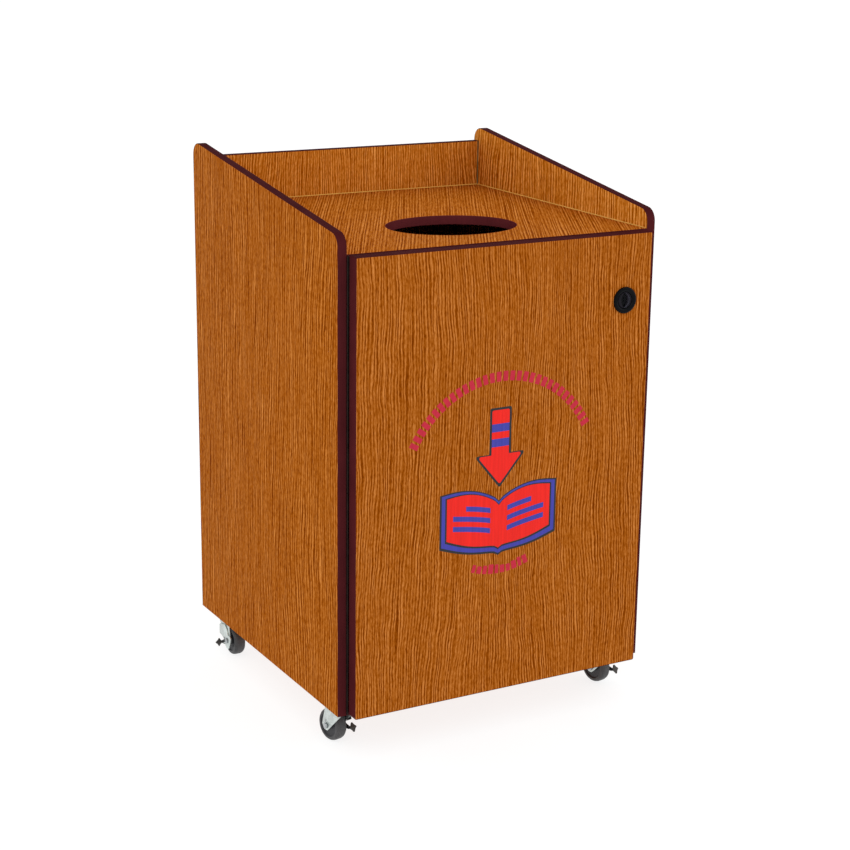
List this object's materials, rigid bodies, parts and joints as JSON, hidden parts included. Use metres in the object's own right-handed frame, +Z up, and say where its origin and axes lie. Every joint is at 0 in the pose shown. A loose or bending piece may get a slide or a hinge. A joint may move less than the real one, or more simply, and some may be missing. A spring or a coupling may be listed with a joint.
{
  "type": "book drop box",
  "caption": "Laminated cabinet on braked swivel casters with an oval drop hole in its recessed top, a hinged front door with a round cam lock, and a removable bin inside.",
  "frame": {"origin": "on the floor, under the centre of the outer box", "axes": "+Z up, the door faces -Y, +X towards the lock side"},
  "size_m": [0.61, 0.6184, 0.9725],
  "materials": {
    "laminate": "satin oak-grain laminate on board",
    "edge_band": "burgundy T-moulding, satin",
    "zinc": "zinc plated",
    "hinge_dark": "dark bronzed steel",
    "lock_black": "satin black",
    "bin": "moulded black plastic",
    "wheel": "dark grey moulded tread",
    "brake": "black moulded lever",
    "cleat": "plain planed wood"
  },
  "bodies": {
    "root": {"left_side_panel": "laminate", "left_side_edge_band": "edge_band", "right_side_panel": "laminate", "right_side_edge_band": "edge_band", "back_panel": "laminate", "back_edge_band": "edge_band", "top_panel": "laminate", "top_front_edge_band": "edge_band", "drop_hole_edge_band": "edge_band", "bottom_panel": "laminate", "bottom_front_edge_band": "edge_band", "top_cleat_left": "cleat", "top_cleat_right": "cleat", "bottom_cleat_left": "cleat", "bottom_cleat_right": "cleat", "strike_plate": "zinc", "hinge_cabinet_leaf": "hinge_dark", "hinge_pin": "hinge_dark", "bin": "bin", "caster_front_left_plate": "zinc", "caster_front_left_kingpin": "zinc", "caster_front_right_plate": "zinc", "caster_front_right_kingpin": "zinc", "caster_rear_left_plate": "zinc", "caster_rear_left_kingpin": "zinc", "caster_rear_right_plate": "zinc", "caster_rear_right_kingpin": "zinc"},
    "door": {"door_panel": "laminate", "door_edge_band": "edge_band", "hinge_door_leaf": "hinge_dark", "lock_housing": "lock_black", "lock_nut": "zinc"},
    "lock": {"lock_plug": "lock_black", "lock_cam": "zinc", "lock_cam_screw": "zinc"},
    "caster_front_left_swivel": {"caster_front_left_fork": "zinc", "caster_front_left_axle": "zinc"},
    "caster_front_left_wheel": {"caster_front_left_wheel": "wheel"},
    "caster_front_left_brake": {"caster_front_left_brake_lever": "brake"},
    "caster_front_right_swivel": {"caster_front_right_fork": "zinc", "caster_front_right_axle": "zinc"},
    "caster_front_right_wheel": {"caster_front_right_wheel": "wheel"},
    "caster_front_right_brake": {"caster_front_right_brake_lever": "brake"},
    "caster_rear_left_swivel": {"caster_rear_left_fork": "zinc", "caster_rear_left_axle": "zinc"},
    "caster_rear_left_wheel": {"caster_rear_left_wheel": "wheel"},
    "caster_rear_left_brake": {"caster_rear_left_brake_lever": "brake"},
    "caster_rear_right_swivel": {"caster_rear_right_fork": "zinc", "caster_rear_right_axle": "zinc"},
    "caster_rear_right_wheel": {"caster_rear_right_wheel": "wheel"},
    "caster_rear_right_brake": {"caster_rear_right_brake_lever": "brake"}
  },
  "joints": [
    {"name": "door_hinge", "type": "hinge", "parent": "root", "child": "door", "pos_m": [-0.2883, -0.28065, 0.469], "axis": [0, 0, -1], "range_deg": [0, 95]},
    {"name": "lock_turn", "type": "hinge", "parent": "door", "child": "lock", "pos_m": [0.2284, -0.30575, 0.7473], "axis": [0, -1, 0], "range_deg": [0, 90]},
    {"name": "caster_front_left_swivel", "type": "hinge", "parent": "root", "child": "caster_front_left_swivel", "pos_m": [-0.274, -0.22525, 0.06], "axis": [0, 0, 1], "continuous": true},
    {"name": "caster_front_left_roll", "type": "hinge", "parent": "caster_front_left_swivel", "child": "caster_front_left_wheel", "pos_m": [-0.27765, -0.20457, 0.0285], "axis": [0.9848, 0.1736, 0], "continuous": true},
    {"name": "caster_front_left_brake", "type": "hinge", "parent": "caster_front_left_swivel", "child": "caster_front_left_brake", "pos_m": [-0.27765, -0.20457, 0.0285], "axis": [0.9848, 0.1736, 0], "range_deg": [0, 18]},
    {"name": "caster_front_right_swivel", "type": "hinge", "parent": "root", "child": "caster_front_right_swivel", "pos_m": [0.274, -0.22525, 0.06], "axis": [0, 0, 1], "continuous": true},
    {"name": "caster_front_right_roll", "type": "hinge", "parent": "caster_front_right_swivel", "child": "caster_front_right_wheel", "pos_m": [0.27035, -0.20457, 0.0285], "axis": [0.9848, 0.1736, 0], "continuous": true},
    {"name": "caster_front_right_brake", "type": "hinge", "parent": "caster_front_right_swivel", "child": "caster_front_right_brake", "pos_m": [0.27035, -0.20457, 0.0285], "axis": [0.9848, 0.1736, 0], "range_deg": [0, 18]},
    {"name": "caster_rear_left_swivel", "type": "hinge", "parent": "root", "child": "caster_rear_left_swivel", "pos_m": [-0.274, 0.24625, 0.06], "axis": [0, 0, 1], "continuous": true},
    {"name": "caster_rear_left_roll", "type": "hinge", "parent": "caster_rear_left_swivel", "child": "caster_rear_left_wheel", "pos_m": [-0.274, 0.22525, 0.0285], "axis": [1, 0, 0], "continuous": true},
    {"name": "caster_rear_left_brake", "type": "hinge", "parent": "caster_rear_left_swivel", "child": "caster_rear_left_brake", "pos_m": [-0.274, 0.22525, 0.0285], "axis": [-1, 0, 0], "range_deg": [-18, 0]},
    {"name": "caster_rear_right_swivel", "type": "hinge", "parent": "root", "child": "caster_rear_right_swivel", "pos_m": [0.274, 0.24625, 0.06], "axis": [0, 0, 1], "continuous": true},
    {"name": "caster_rear_right_roll", "type": "hinge", "parent": "caster_rear_right_swivel", "child": "caster_rear_right_wheel", "pos_m": [0.274, 0.22525, 0.0285], "axis": [1, 0, 0], "continuous": true},
    {"name": "caster_rear_right_brake", "type": "hinge", "parent": "caster_rear_right_swivel", "child": "caster_rear_right_brake", "pos_m": [0.274, 0.22525, 0.0285], "axis": [-1, 0, 0], "range_deg": [0, 18]}
  ]
}
